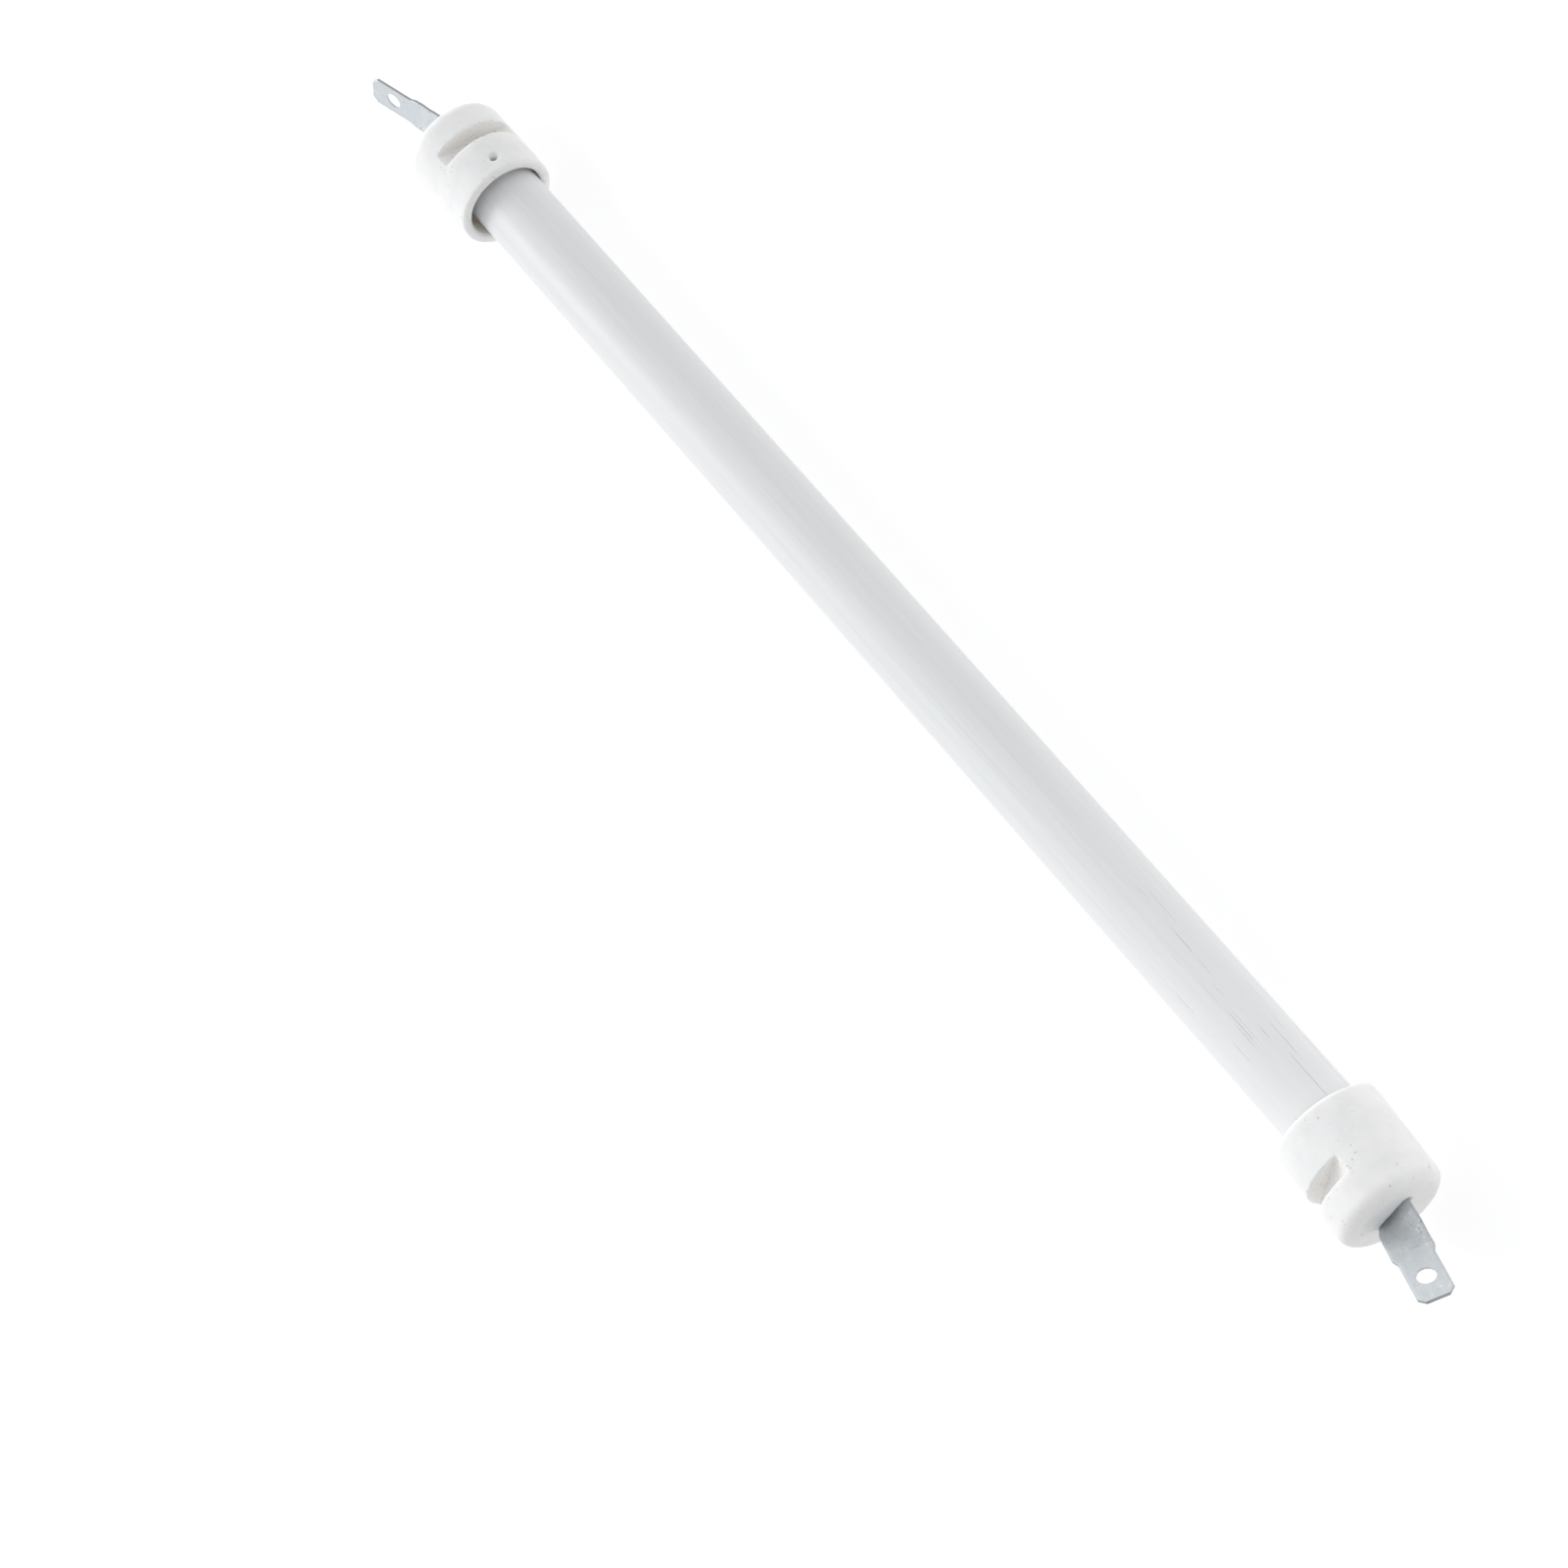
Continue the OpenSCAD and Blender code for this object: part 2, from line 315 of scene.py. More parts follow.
class Shader:
    """A node material: node() adds a node, and link() joins sockets."""

    def __init__(self, name):
        self.material = bpy.data.materials.new(name)
        self.material.use_nodes = True
        self.tree = self.material.node_tree
        self.surface = self.tree.nodes["Principled BSDF"]

    def node(self, kind, inputs=None, **settings):
        node = self.tree.nodes.new("ShaderNode" + kind)
        for key, value in settings.items():
            setattr(node, key, value)
        for key, value in (inputs or {}).items():
            self.link(value, node.inputs[key])
        return node

    def link(self, value, socket):
        if isinstance(value, bpy.types.NodeSocket):
            self.tree.links.new(value, socket)
        else:
            socket.default_value = value

    def place(self):
        """Where a point lies in its piece, in metres."""
        return self.node("TexCoord").outputs["Object"]

    def noise(self, place, size, stretch=(1, 1, 1), detail=3.0, rough=0.55):
        """Noise with features of about size millimetres, longer where stretch is large."""
        scale = [1 / (MM * size * s) for s in stretch]
        mapped = self.node("Mapping", {"Vector": place, "Scale": scale})
        return self.node("TexNoise", {"Vector": mapped.outputs[0], "Scale": 1.0, "Detail": detail,
                                      "Roughness": rough}).outputs["Fac"]

    def vector(self, operation, inputs):
        return self.node("VectorMath", inputs, operation=operation).outputs[0]

    def bent(self, place, size, amount):
        """A place shifted by up to amount, in a way that varies over size, both in millimetres."""
        wave = self.node("TexNoise", {"Vector": place, "Scale": 1 / (MM * size), "Detail": 2.0})
        centred = self.vector("SUBTRACT", {0: wave.outputs["Color"], 1: (0.5, 0.5, 0.5)})
        shift = self.vector("SCALE", {0: centred, "Scale": amount * MM * 2})
        return self.vector("ADD", {0: place, 1: shift})

    def spots(self, place, size):
        """Distance to the nearest of scattered points that are about size millimetres apart."""
        cells = self.node("TexVoronoi", {"Vector": place, "Scale": 1 / (MM * size)})
        return cells.outputs["Distance"]

    def ramp(self, value, low, high, to_low=0.0, to_high=1.0, ease="SMOOTHSTEP"):
        return self.node("MapRange", {"Value": value, "From Min": low, "From Max": high,
                                      "To Min": to_low, "To Max": to_high},
                         interpolation_type=ease).outputs[0]

    def math(self, operation, a, b):
        return self.node("Math", {0: a, 1: b}, operation=operation).outputs[0]

    def times(self, product, *factors):
        for factor in factors:
            product = self.math("MULTIPLY", product, factor)
        return product

    def paint(self, value, socket):
        """Links a value, or sets a colour of three numbers."""
        self.link((*value, 1) if isinstance(value, tuple) else value, socket)

    def mix(self, factor, a, b):
        """Colour a where factor is 0, and b where it is 1."""
        node = self.node("Mix", data_type="RGBA")
        self.link(factor, node.inputs["Factor"])
        self.paint(a, node.inputs[6])
        self.paint(b, node.inputs[7])
        return node.outputs[2]

    def bump(self, height, depth, strength=1.0, before=None):
        """Relief of that depth in millimetres."""
        inputs = {"Height": height, "Distance": depth * MM, "Strength": strength}
        if before:
            inputs["Normal"] = before
        return self.node("Bump", inputs).outputs[0]

    def attribute(self, name, output="Fac"):
        return self.node("Attribute", attribute_name=name).outputs[output]

    def set(self, **values):
        """Sets sockets of the surface: an underscore stands for a space in a socket's name."""
        for key, value in values.items():
            self.paint(value, self.surface.inputs[key.replace("_", " ")])


def milky_quartz():
    """Satin milk-white quartz with silky lengthwise streaks.

    Its colour is painted paler toward the left end, as painted light, and near that end it has a
    few fine dark scratches.
    """
    s = Shader("milky_quartz")
    place = s.place()
    fine = s.noise(place, 0.25, (60, 1, 1), detail=4)
    broad = s.noise(place, 1.1, (45, 1, 1), detail=2)
    cloud = s.noise(place, 14, (3, 1, 1), detail=2)
    streaks = s.math("ADD", s.ramp(fine, 0.35, 0.65, 0, 0.55),
                     s.ramp(broad, 0.35, 0.65, 0, 0.45))
    colour = s.mix(streaks, (0.745, 0.757, 0.765), (0.80, 0.808, 0.812))
    colour = s.mix(s.ramp(cloud, 0.3, 0.7, 0, 0.25), colour, (0.80, 0.80, 0.795))
    x = s.node("SeparateXYZ", {"Vector": place}).outputs[0]
    # painted light: the colour turns paler toward the left end, standing in for brighter light
    # falling there
    colour = s.mix(s.ramp(x, -0.02, -0.11, 0, 0.55), colour, (0.85, 0.852, 0.855))
    near_left = s.ramp(x, -0.045, -0.08)
    line = s.ramp(s.noise(place, 0.13, (130, 1, 1), detail=1), 0.70, 0.74)
    patch = s.ramp(s.noise(place, 5, (3, 1, 1), detail=1), 0.50, 0.56)
    scratch = s.times(line, patch, near_left)
    s.set(Base_Color=s.mix(s.times(scratch, 0.85), colour, (0.22, 0.215, 0.21)))
    s.set(Roughness=s.ramp(streaks, 0, 1, 0.34, 0.50), IOR=1.46)
    s.set(Normal=s.bump(streaks, 0.012, 0.6))
    return s.material


def steatite():
    """Unglazed pressed ceramic: off-white and matte, and it lets a little light through.

    It has small dark pits near its edges, and a warmer tint painted in its recesses as painted
    shade.
    """
    s = Shader("steatite")
    place = s.place()
    grain = s.noise(place, 0.22, detail=3)
    mottle = s.noise(place, 3.2, detail=3)
    wear = s.attribute("wear")
    recess_shade = s.attribute("recess_shade")
    colour = s.mix(s.ramp(mottle, 0.3, 0.7), (0.835, 0.833, 0.828), (0.875, 0.873, 0.868))
    # painted shade: a warm tint in the slot, the socket and the slit, deeper in the socket, where
    # shade falls
    colour = s.mix(s.times(recess_shade, 0.6), colour, (0.88, 0.855, 0.825))
    gathered = s.math("ADD", s.noise(place, 1.5, detail=2), s.times(wear, 0.2))
    hole = s.ramp(s.spots(s.bent(place, 0.5, 0.25), 0.55), 0.30, 0.12)
    pit = s.times(hole, s.ramp(gathered, 0.64, 0.72))
    s.set(Base_Color=s.mix(s.times(pit, 0.6), colour, (0.36, 0.31, 0.26)))
    s.set(Roughness=s.ramp(grain, 0.3, 0.7, 0.62, 0.8))
    relief = s.bump(grain, 0.02, 0.5)
    s.set(Normal=s.bump(pit, -0.05, 0.8, relief))
    s.set(Subsurface_Weight=0.65, Subsurface_Scale=2.0 * MM, Specular_IOR_Level=0.35)
    s.surface.inputs["Subsurface Radius"].default_value = (1.0, 0.9, 0.8)
    return s.material


def plated_steel():
    """Bluish-grey plated strip, rolled lengthwise, slightly mottled, with painted shade: its
    sheared edge faces and tip are painted dark.

    It is scuffed in places, most of all along one edge of its wide part.
    """
    s = Shader("plated_steel")
    flat = s.vector("MULTIPLY", {0: s.attribute("flat", "Vector"), 1: (MM, MM, MM)})
    edge = s.attribute("edge")
    spangle = s.noise(flat, 0.7, detail=4, rough=0.65)
    rolled = s.noise(flat, 0.12, (30, 1, 1), detail=3)
    across = s.noise(flat, 0.18, (1, 25, 1), detail=1)
    marks = s.times(s.ramp(across, 0.60, 0.68), s.ramp(s.noise(flat, 1.6), 0.5, 0.6))
    colour = s.mix(s.ramp(spangle, 0.3, 0.7), (0.60, 0.635, 0.66), (0.67, 0.70, 0.72))
    colour = s.mix(s.ramp(rolled, 0.4, 0.7, 0, 0.25), colour, (0.71, 0.735, 0.75))
    colour = s.mix(s.times(marks, 0.3), colour, (0.36, 0.37, 0.39))
    # painted shade: the strip's edge faces and its tip are painted dark
    colour = s.mix(s.times(edge, 0.6), colour, (0.20, 0.195, 0.19))
    along, sideways = s.node("SeparateXYZ", {"Vector": flat}).outputs[:2]
    near_edge = s.ramp(sideways, 0.8 * MM, 2.6 * MM)
    wide_part = s.times(s.ramp(along, 1 * MM, 3 * MM), s.ramp(along, 9 * MM, 8 * MM))
    rubbed = s.times(near_edge, wide_part, 0.3)
    scuffs = s.ramp(s.noise(flat, 0.45, detail=4, rough=0.7), 0.50, 0.60)
    area = s.ramp(s.math("ADD", s.noise(flat, 2.0, detail=1), rubbed), 0.60, 0.70)
    scuffed = s.times(scuffs, area)
    colour = s.mix(s.times(scuffed, 0.7), colour, (0.90, 0.915, 0.92))
    hole = s.ramp(s.spots(s.bent(flat, 0.4, 0.45), 0.65), 0.30, 0.14)
    speck = s.times(hole, area, s.ramp(rubbed, 0.02, 0.15, 0.15, 1))
    s.set(Base_Color=s.mix(s.times(speck, 0.65), colour, (0.17, 0.15, 0.14)))
    s.set(Roughness=s.ramp(spangle, 0.3, 0.7, 0.46, 0.56), Metallic=0.7)
    relief = s.bump(rolled, 0.008, 0.5)
    relief = s.bump(scuffed, 0.03, 0.5, relief)
    s.set(Normal=s.bump(marks, 0.02, 0.5, relief))
    return s.material


def drawn_nickel():
    s = Shader("drawn_nickel")
    lines = s.noise(s.place(), 0.15, (25, 1, 1))
    s.set(Base_Color=s.mix(s.ramp(lines, 0.3, 0.7), (0.48, 0.46, 0.43), (0.62, 0.60, 0.56)))
    s.set(Roughness=s.ramp(lines, 0.3, 0.7, 0.3, 0.5), Metallic=1.0)
    s.set(Normal=s.bump(lines, 0.01, 0.5))
    return s.material


def resistance_wire():
    s = Shader("resistance_wire")
    oxide = s.noise(s.place(), 0.3)
    s.set(Base_Color=s.mix(s.ramp(oxide, 0.3, 0.7), (0.10, 0.098, 0.095), (0.20, 0.19, 0.175)))
    s.set(Roughness=s.ramp(oxide, 0.3, 0.7, 0.5, 0.75), Metallic=0.85)
    s.set(Normal=s.bump(oxide, 0.015, 0.5))
    return s.material


# ---- quartz tube ----

def quartz_tube(material):
    half = TUBE_LEN / 2
    inner = TUBE_R - TUBE_WALL
    spans = 60
    xs = [-half + TUBE_LIP + (TUBE_LEN - 2 * TUBE_LIP) * k / spans for k in range(spans + 1)]
    outer_side = [(x, TUBE_R) for x in xs]
    inner_side = [(x, inner) for x in reversed(xs)]
    right_lip = arc(half - TUBE_LIP, TUBE_R - TUBE_LIP, TUBE_LIP, 90, 0)[1:]
    right_lip += arc(half - TUBE_LIP, inner + TUBE_LIP, TUBE_LIP, 0, -90)[:-1]
    left_lip = arc(TUBE_LIP - half, inner + TUBE_LIP, TUBE_LIP, -90, -180)[1:]
    left_lip += arc(TUBE_LIP - half, TUBE_R - TUBE_LIP, TUBE_LIP, 180, 90)[:-1]
    mesh = lathe("quartz_tube_skin", outer_side + right_lip + inner_side + left_lip, 160)
    co = coordinates(mesh)
    ripple = (22, 9, 9)
    hollow = 0.02
    uneven = np.array([noise.noise(Vector(c / r for c, r in zip(p, ripple))) for p in co])
    radius = np.hypot(co[:, 1], co[:, 2])
    shrink = 1 + hollow * np.minimum(uneven, 0) / radius
    co[:, 1:] *= shrink[:, None]
    co[:, 2] += TUBE_Z
    set_coordinates(mesh, co)
    smooth(mesh)
    put_in_frame(mesh)
    piece = new_piece("quartz_tube_drawn", mesh)
    finish_piece(piece, "tube", "milky_quartz", material, "quartz_tube")


# ---- ceramic caps ----

def cap_body():
    mouth = -CAP_LEN
    floor = mouth + SOCKET_DEPTH
    outline = [(floor, 0), (floor, SOCKET_R), (mouth + MOUTH_EDGE, SOCKET_R)]
    outline += [(mouth, SOCKET_R + MOUTH_EDGE)]
    outline += arc(mouth + MOUTH_ROUND, CAP_R - MOUTH_ROUND, MOUTH_ROUND, 180, 90)
    outline += arc(-END_ROUND, CAP_R - END_ROUND, END_ROUND, 90, 0, 10)
    outline += [(0, 0)]
    return lathe("cap", outline, 160)


def channel_turned(y, z):
    """Turns a point drawn with the slit lying flat to where the slit is."""
    turn = math.radians(CHANNEL_ROLL)
    return (y * math.cos(turn) - z * math.sin(turn), y * math.sin(turn) + z * math.cos(turn))


def channel_cutter():
    """A slit with round ends, through the cap's end wall."""
    side = (CHANNEL_W - CHANNEL_H) / 2
    steps = 12
    loop = []
    for centre, start in ((side, -90), (-side, 90)):
        for k in range(steps + 1):
            a = math.radians(start + 180 * k / steps)
            loop.append(channel_turned(centre + CHANNEL_H / 2 * math.cos(a),
                                       CHANNEL_H / 2 * math.sin(a)))
    rings = [[(x, y, z) for y, z in loop] for x in (-END_WALL - 1, 1)]
    return outward(sweep("channel", rings))


def vent_cutter():
    drill = [(0, 0), (0, VENT_INNER_R), (CAP_R - VENT_FLARE, VENT_INNER_R),
             (CAP_R, VENT_MOUTH_R), (CAP_R + 1, VENT_MOUTH_R), (CAP_R + 1, 0)]
    mesh = lathe("vent", drill, 32)
    upright = Matrix.Rotation(-math.pi / 2, 4, "Y")
    lean = Matrix.Rotation(math.radians(VENT_TURN), 4, "X")
    mesh.transform(Matrix.Translation((-CAP_LEN + VENT_X, 0, 0)) @ lean @ upright)
    return outward(mesh)


def chip_cutter(centre, size, seed):
    """A small lump with an uneven surface, which leaves a chip in an edge."""
    shape = bmesh.new()
    bmesh.ops.create_icosphere(shape, subdivisions=2, radius=1)
    for vert in shape.verts:
        uneven = 1 + 0.45 * noise.noise(vert.co * 1.3 + Vector((seed * 3.7, 0, 0)))
        vert.co = Vector(centre) + Vector(c * s * uneven for c, s in zip(vert.co, size))
    mesh = bpy.data.meshes.new("chip")
    shape.to_mesh(mesh)
    shape.free()
    return mesh


def chip_places(draw):
    """Where a cap is chipped: along the slot's edges, round the slit and on the outer rim."""
    slot_edge = math.sqrt(CAP_R ** 2 - SLOT_FLOOR ** 2)
    start = -CAP_LEN + SLOT_X
    places = []
    for x in (start, start + SLOT_W):
        for _ in range(4):
            y = draw.uniform(-slot_edge, slot_edge)
            z = math.sqrt(CAP_R ** 2 - y ** 2)
            places.append(((x, y, z), [draw.uniform(0.15, 0.34) for _ in range(3)]))
    for _ in range(5):
        along = draw.uniform(-CHANNEL_W / 2, CHANNEL_W / 2)
        side = CHANNEL_H / 2 * draw.choice((-1, 1))
        y, z = channel_turned(along, side)
        places.append(((0, y, z), [draw.uniform(0.15, 0.4) for _ in range(3)]))
    rim_in = END_ROUND * 0.3
    for _ in range(3):
        a = draw.uniform(0, 2 * math.pi)
        r = CAP_R - rim_in
        places.append(((-rim_in, r * math.cos(a), r * math.sin(a)),
                       [draw.uniform(0.2, 0.35) for _ in range(3)]))
    return places


def cap_wear(co):
    """How near each point is to the slot, the outer rim or the mouth, from 0 to 1."""
    start = -CAP_LEN + SLOT_X
    to_slot = np.abs(co[:, 0] - (start + SLOT_W / 2)) - SLOT_W / 2
    below = SLOT_FLOOR - 1 - co[:, 2]
    slot = np.hypot(np.maximum(to_slot, 0), np.maximum(below, 0))
    outside = np.hypot(co[:, 1], co[:, 2]) - CAP_R + END_ROUND
    rim = np.abs(np.hypot(co[:, 0] + END_ROUND, outside) - END_ROUND)
    rim_less, mouth_less, far, fade = 1.2, 0.4, 9, 1.1
    to_rim = np.where(co[:, 0] > -END_ROUND, rim + rim_less, far)
    mouth = np.abs(co[:, 0] + CAP_LEN) + mouth_less
    return np.exp(-np.minimum(np.minimum(slot, to_rim), mouth) / fade)


def cap_recess_shade(co):
    """Mask of the painted shade in the recesses: 1 inside the slot, the socket and the slit, and 0
    on the outside.
    """
    x, height = co[:, 0], co[:, 2]
    radius = np.hypot(co[:, 1], height)
    start = -CAP_LEN + SLOT_X
    in_slot = (x > start - 0.05) & (x < start + SLOT_W + 0.05) & (height > SLOT_FLOOR - 0.1)
    slot = np.where(in_slot, np.clip((CAP_R - 0.25 - radius) / 0.8, 0, 1), 0)
    in_socket = (radius < SOCKET_R + 0.05) & (x < -END_WALL + 0.1)
    socket = np.where(in_socket, np.clip((x + CAP_LEN - MOUTH_EDGE) / 3, 0, 1), 0)
    in_slit = (radius < CHANNEL_W / 2 + 0.2) & (x > -END_WALL) & (x < -0.3)
    return np.maximum(np.maximum(slot, socket), in_slit * 0.8)


def ceramic_cap(side, end, material):
    """Cut, chipped, then softened and made slightly uneven, as pressed ceramic is."""
    draw = random.Random(end["seed"])
    piece = new_piece(side + "_cap_worn", cap_body())
    start = -CAP_LEN + SLOT_X
    past = CAP_R + 1
    slot = box_mesh("slot", (start, -past, SLOT_FLOOR), (start + SLOT_W, past, past))
    cutters = [slot, channel_cutter()]
    if end["vent"]:
        cutters.append(vent_cutter())
    for number, (centre, size) in enumerate(chip_places(draw)):
        cutters.append(chip_cutter(centre, size, number))
    cut(piece, cutters)
    remesh = piece.modifiers.new("remesh", "REMESH")
    remesh.mode = "VOXEL"
    remesh.voxel_size = 0.16
    soften = piece.modifiers.new("soften", "SMOOTH")
    soften.factor = 0.5
    soften.iterations = 3
    with_modifiers(piece)
    mesh = piece.data
    co = coordinates(mesh)
    normals = np.zeros(len(co) * 3, np.float32)
    mesh.vertex_normals.foreach_get("vector", normals)
    ripple = 2.4
    hollow = 0.035
    uneven = np.array([noise.fractal(Vector(p) / ripple, 0.6, 2.2, 3) for p in co])
    outside = np.clip(np.hypot(co[:, 1], co[:, 2]) - SOCKET_R, 0, 1)
    depth = -hollow * (1 + np.clip(uneven, -1, 1)) * outside
    set_number(mesh, "wear", cap_wear(co))
    # the mask of the painted shade in the slot, the socket and the slit
    set_number(mesh, "recess_shade", cap_recess_shade(co))
    set_coordinates(mesh, co + normals.reshape(-1, 3) * depth[:, None])
    smooth(mesh)
    put_in_frame(mesh, end)
    finish_piece(piece, side + "_end", "steatite", material, side + "_ceramic_cap")


# ---- blade terminals ----

def ease(s, a, b):
    """Rises smoothly from 0 at a to 1 at b."""
    t = np.clip((s - a) / (b - a), 0, 1)
    return t * t * (3 - 2 * t)


def half_width(s, out):
    """Half the blade's width at distance s from the cap's outer face."""
    full_out = out - TAB_LEN - SHOULDER_LEN
    if s < 0:
        widened = float(ease(s, -END_WALL - NECK_LEN, -END_WALL - 1))
        return (NECK_W + (BLADE_W - NECK_W) * widened) / 2
    shoulder = float(np.clip((s - full_out) / SHOULDER_LEN, 0, 1))
    chamfer = max(0.0, s - (out - TAB_CHAMFER))
    return (BLADE_W - (BLADE_W - TAB_W) * shoulder) / 2 - chamfer


def edge_profile(half, thick):
    """Cross-section of the strip: flat faces, and edges rounded as a shear leaves them."""
    lanes = 14
    burr = 0.05
    roll = 0.16
    face = 2 * half - roll - burr
    side = [(-half + roll + face * k / lanes, thick / 2) for k in range(lanes + 1)]
    side += [(half, thick / 2 - burr), (half, -thick / 2 + roll)]
    side += [(half - roll * 0.4, -thick / 2 + roll * 0.3)]
    return side + [(-w, -z) for w, z in side]


def flat_strip(out):
    """The blade before it is twisted: distance along it, across it and through it."""
    start = -END_WALL - NECK_LEN - 2
    full_out = out - TAB_LEN - SHOULDER_LEN
    stops = [start, 0, full_out, full_out + SHOULDER_LEN, out - TAB_CHAMFER, out - 0.05]
    along = []
    for a, b in zip(stops[:-1], stops[1:]):
        steps = max(2, round((b - a) / 0.2))
        along += [a + (b - a) * k / steps for k in range(steps)]
    along.append(stops[-1])
    rings = [[(s, w, z) for w, z in edge_profile(half_width(s, out), BLADE_T)] for s in along]
    tip = edge_profile(half_width(out, out) - 0.05, BLADE_T - 0.12)
    rings.append([(out, w, z) for w, z in tip])
    piece = new_piece("strip", outward(sweep("strip", rings)))
    flare = BLADE_T / 2
    punch = [(-1, 0), (-1, HOLE_R + 0.1), (-flare, HOLE_R + 0.1), (-flare + 0.1, HOLE_R),
             (flare, HOLE_R), (1, HOLE_R), (1, 0)]
    hole = lathe("punch", punch, 64)
    upright = Matrix.Rotation(-math.pi / 2, 4, "Y")
    hole.transform(Matrix.Translation((out - HOLE_FROM_TIP, 0, 0)) @ upright)
    cut(piece, [outward(hole)])
    mesh = piece.data
    bpy.data.objects.remove(piece)
    return mesh


def turns(angles, axis):
    """One rotation matrix for each angle in degrees about X, Y or Z."""
    c, s = np.cos(np.radians(angles)), np.sin(np.radians(angles))
    one, zero = np.ones_like(c), np.zeros_like(c)
    rows = {"X": [[one, zero, zero], [zero, c, -s], [zero, s, c]],
            "Y": [[c, zero, s], [zero, one, zero], [-s, zero, c]],
            "Z": [[c, -s, zero], [s, c, zero], [zero, zero, one]]}[axis]
    return np.moveaxis(np.array(rows), 2, 0)


def blade_turn(s, shape):
    """Which way the blade faces at distance s from the cap's outer face."""
    bend_at = shape["bend_at"]
    twisted = ease(s, bend_at - TWIST_LEAD, shape["twist_end"])
    bent = ease(s, bend_at - BEND_HALF, bend_at + BEND_HALF)
    twist = turns(shape["twist"] * twisted, "X")
    return twist @ turns(shape["bend"] * bent, "Y") @ turns(shape["skew"] * bent, "Z")


def twist_strip(co, shape, out):
    """Twists and bends the flat strip outside the cap, and drops its neck to the barrel."""
    start = co[:, 0].min()
    steps = np.linspace(start, out, 1200)
    ahead = blade_turn((steps[1:] + steps[:-1]) / 2, shape)[:, :, 0]
    line = np.concatenate([[[start, 0, 0]], ahead * np.diff(steps)[:, None]]).cumsum(axis=0)
    s = co[:, 0]
    middle = np.stack([np.interp(s, steps, line[:, k]) for k in range(3)], axis=1)
    drop = -NECK_DROP * (1 - ease(s, -END_WALL - NECK_LEN + 0.5, -END_WALL - 1))
    # the strip is slightly hollow at the cap, and waves faintly further out
    gutter = 0.03 * (co[:, 1] ** 2 - 3) * ease(s, -6, 0) * (1 - ease(s, 1, 6))
    wave = 0.05 * np.sin(s * 1.9 + 0.6) * ease(s, 0, 3) * (1 - ease(s, 6, 9)) * (co[:, 1] / 3)
    across = np.stack([np.zeros_like(s), co[:, 1], co[:, 2] + drop + gutter + wave], axis=1)
    return middle + np.einsum("nij,nj->ni", blade_turn(s, shape), across)


def crimp_barrel():
    """The blade's inner end, folded round the pin's shank and squeezed at two places."""
    rings = []
    reach = math.radians(360 - BARREL_OPEN)
    first = math.radians(90 + BARREL_OPEN / 2)
    steps, lanes = 30, 28
    dent = 0.12
    angles = [first + reach * j / lanes for j in range(lanes + 1)]
    for k in range(steps + 1):
        x = BARREL_X - BARREL_LEN + BARREL_LEN * k / steps
        squeeze = dent * (math.cos(4 * math.pi * k / steps) ** 4 if 3 < k < steps - 3 else 0)
        outer_r = SHANK_R + BARREL_T - squeeze
        outer = [(x, outer_r * math.cos(a), outer_r * math.sin(a)) for a in angles]
        inner = [(x, SHANK_R * math.cos(a), SHANK_R * math.sin(a)) for a in reversed(angles)]
        rings.append(outer + inner)
    return outward(sweep("barrel", rings))


def join_meshes(name, meshes):
    shape = bmesh.new()
    for mesh in meshes:
        shape.from_mesh(mesh)
    joined = bpy.data.meshes.new(name)
    shape.to_mesh(joined)
    shape.free()
    return joined


def blade_terminal(side, end, material):
    out = end["out"]
    strip = flat_strip(out)
    flat = coordinates(strip)
    set_coordinates(strip, twist_strip(flat, end["blade"], out))
    barrel = crimp_barrel()
    flat = np.concatenate([flat, coordinates(barrel)])
    mesh = join_meshes(side + "_blade", [strip, barrel])
    halves = np.array([half_width(s, out) for s in flat[:, 0]])
    # masks for the painted shade on the strip's edge faces and its tip
    edge = 1 - np.clip((halves - np.abs(flat[:, 1]) - 0.01) / 0.06, 0, 1)
    tip = np.clip((flat[:, 0] - out + 0.12) / 0.05, 0, 1)
    # the shift gives each blade its own mottle and scuffs
    own_marks = np.array([0, 0, 40 if end["flip"] else 0])
    set_number(mesh, "edge", np.maximum(edge, tip))
    set_vector(mesh, "flat", flat + own_marks)
    smooth(mesh, 32)
    mesh.transform(Matrix.Rotation(math.radians(CHANNEL_ROLL), 4, "X"))
    put_in_frame(mesh, end)
    piece = new_piece(side + "_blade_twisted", mesh)
    finish_piece(piece, side + "_end", "plated_steel", material, side + "_blade_terminal")


# ---- inside: lead pins and heating coil ----

def lead_pin(side, end, material):
    """A round head that holds the coil, and a shank that ends just past the crimp barrel."""
    nose = 0.4
    edge = 0.3
    head_in = HEAD_X - HEAD_LEN
    shank_end = BARREL_X + 0.5
    outline = [(head_in, 0), (head_in, HEAD_R - nose), (head_in + nose, HEAD_R)]
    outline += [(HEAD_X - edge, HEAD_R), (HEAD_X, HEAD_R - edge)]
    outline += [(HEAD_X, SHANK_R + edge), (HEAD_X + edge, SHANK_R)]
    outline += arc(shank_end - nose, SHANK_R - nose, nose, 90, 0) + [(shank_end, 0)]
    mesh = lathe(side + "_pin", outline, 48)
    smooth(mesh, 35)
    put_in_frame(mesh, end)
    piece = new_piece(side + "_pin_turned", mesh)
    finish_piece(piece, side + "_end", "nickel_pin", material, side + "_lead_pin")


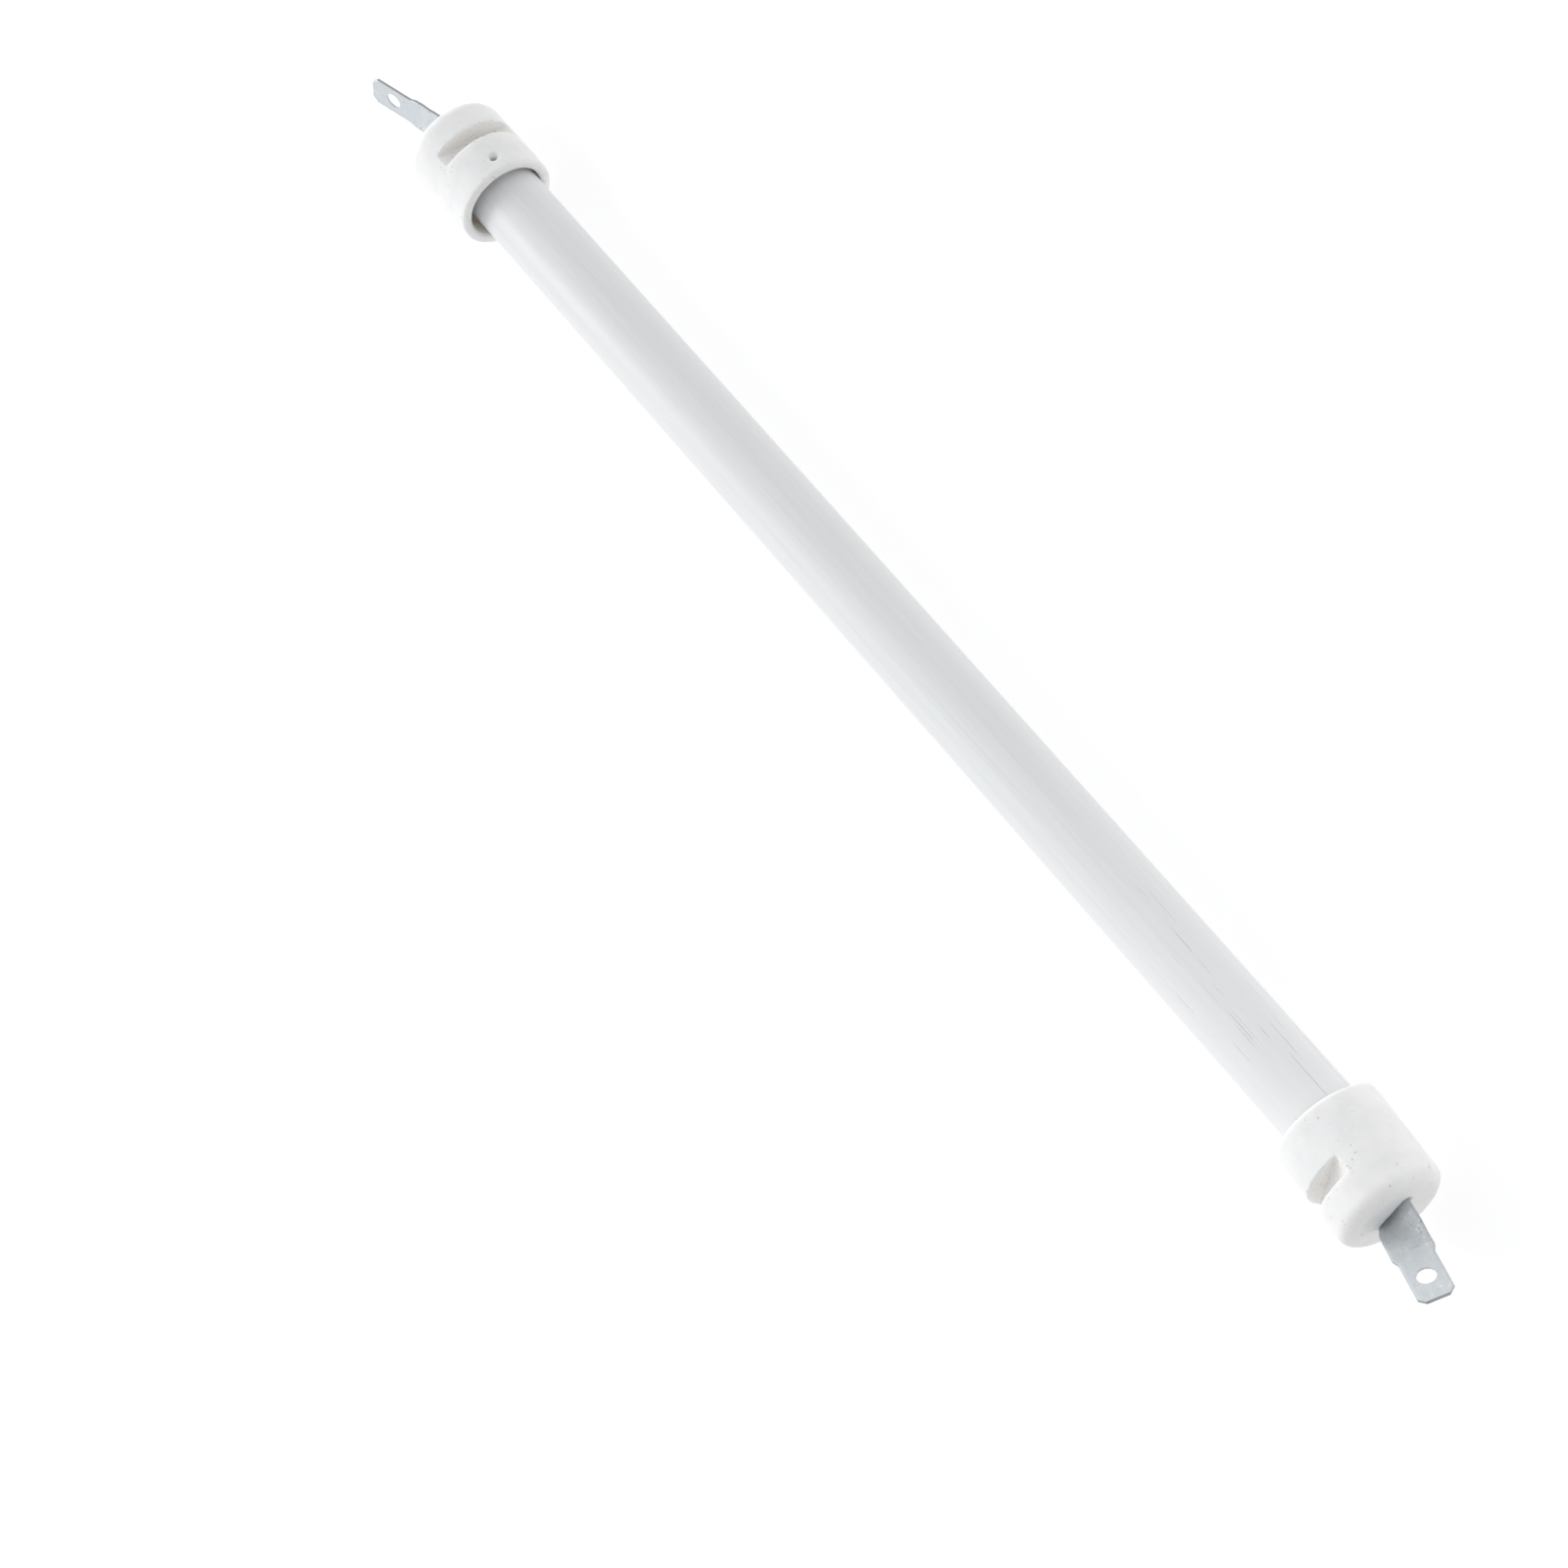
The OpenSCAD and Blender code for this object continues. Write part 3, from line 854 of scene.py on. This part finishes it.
def heating_coil(material):
    """Wound evenly along X, with its left end in line with the cocked left pin."""
    reach = OUTER_X + HEAD_X - COIL_IN
    steps_per_turn = 20
    sides = 6
    uneven = 0.12
    count = COIL_TURNS * steps_per_turn
    rings = []
    for i in range(count + 1):
        a = 2 * math.pi * i / steps_per_turn
        x = reach * (2 * i / count - 1) + uneven * math.sin(i / 170)
        ring = []
        for k in range(sides):
            b = 2 * math.pi * k / sides
            r = COIL_R + WIRE_R * math.cos(b)
            ring.append((x + WIRE_R * math.sin(b), r * math.cos(a), r * math.sin(a)))
        rings.append(ring)
    mesh = outward(sweep("coil", rings))
    co = coordinates(mesh)
    place = np.array(end_place(True))
    carried = np.column_stack([-co[:, 0] - OUTER_X, -co[:, 1], co[:, 2]])
    carried = carried @ place[:3, :3].T + place[:3, 3]
    pin_in = OUTER_X + HEAD_X - HEAD_LEN
    part = ease(-co[:, 0], pin_in - COIL_SWING, pin_in - 1)[:, None]
    set_coordinates(mesh, co + part * (carried - co))
    smooth(mesh)
    put_in_frame(mesh)
    piece = new_piece("heating_coil_wound", mesh)
    finish_piece(piece, "tube", "resistance_wire", material, "heating_coil")


# ---- camera, floor and light ----

def camera():
    """Looks down along the tube, with the left cap near, at the picture's lower right."""
    at = Vector((-0.27512, -0.31304, 0.43129))
    aim = Vector((0.0014, 0.03486, 0))
    roll = -101.258
    data = bpy.data.cameras.new("camera")
    data.lens = 90
    data.sensor_width = 36
    eye = bpy.data.objects.new("camera", data)
    eye.rotation_mode = "QUATERNION"
    turn = (aim - at).to_track_quat("-Z", "Y")
    eye.rotation_quaternion = turn @ Quaternion((0, 0, 1), math.radians(roll))
    eye.location = at
    bpy.context.scene.collection.objects.link(eye)
    bpy.context.scene.camera = eye


def pale_floor():
    """A disc under the part, bright enough to come out white."""
    shape = bmesh.new()
    bmesh.ops.create_circle(shape, cap_ends=True, segments=96, radius=4)
    mesh = bpy.data.meshes.new("floor")
    shape.to_mesh(mesh)
    shape.free()
    floor = new_piece("floor", mesh)
    floor.location.z = FLOOR_Z
    s = Shader("pale_floor")
    s.set(Base_Color=(0.25, 0.25, 0.25), Roughness=0.9, Specular_IOR_Level=0.0)
    s.set(Emission_Color=(1.0, 1.0, 1.0), Emission_Strength=0.8)
    mesh.materials.append(s.material)


def soft_sky():
    """Light from all round, brightest from the right end's side."""
    world = bpy.data.worlds.new("soft_sky")
    bpy.context.scene.world = world
    world.use_nodes = True
    nodes, links = world.node_tree.nodes, world.node_tree.links
    place = nodes.new("ShaderNodeTexCoord")
    toward = nodes.new("ShaderNodeVectorMath")
    toward.operation = "DOT_PRODUCT"
    toward.inputs[1].default_value = (0.9, 0.43, 0)
    links.new(place.outputs["Generated"], toward.inputs[0])
    level = nodes.new("ShaderNodeMapRange")
    spans = {"From Min": -1.0, "From Max": 1.0, "To Min": 0.3, "To Max": 1.3}
    for name, value in spans.items():
        level.inputs[name].default_value = value
    links.new(toward.outputs["Value"], level.inputs["Value"])
    links.new(level.outputs[0], nodes["Background"].inputs["Strength"])
    nodes["Background"].inputs["Color"].default_value = (0.975, 0.988, 1.0, 1)


def softbox(name, at, size, watts):
    """A round lamp that faces the middle of the part."""
    data = bpy.data.lights.new(name, "AREA")
    data.shape = "DISK"
    data.size = size
    data.energy = watts
    lamp = bpy.data.objects.new(name, data)
    lamp.location = at
    lamp.rotation_mode = "QUATERNION"
    lamp.rotation_quaternion = (-Vector(at)).to_track_quat("-Z", "Y")
    bpy.context.scene.collection.objects.link(lamp)


camera()
pale_floor()
soft_sky()
softbox("key", (1.4, 0.65, 1.3), 1.0, 12.5)
softbox("fill", (-0.17, -0.17, 0.05), 0.15, 0.05)
bpy.context.scene.view_settings.view_transform = "Standard"

quartz_tube(milky_quartz())
heating_coil(resistance_wire())
ceramic_white = steatite()
strip_steel = plated_steel()
pin_nickel = drawn_nickel()
for end_side, end_facts in ENDS.items():
    ceramic_cap(end_side, end_facts, ceramic_white)
    blade_terminal(end_side, end_facts, strip_steel)
    lead_pin(end_side, end_facts, pin_nickel)
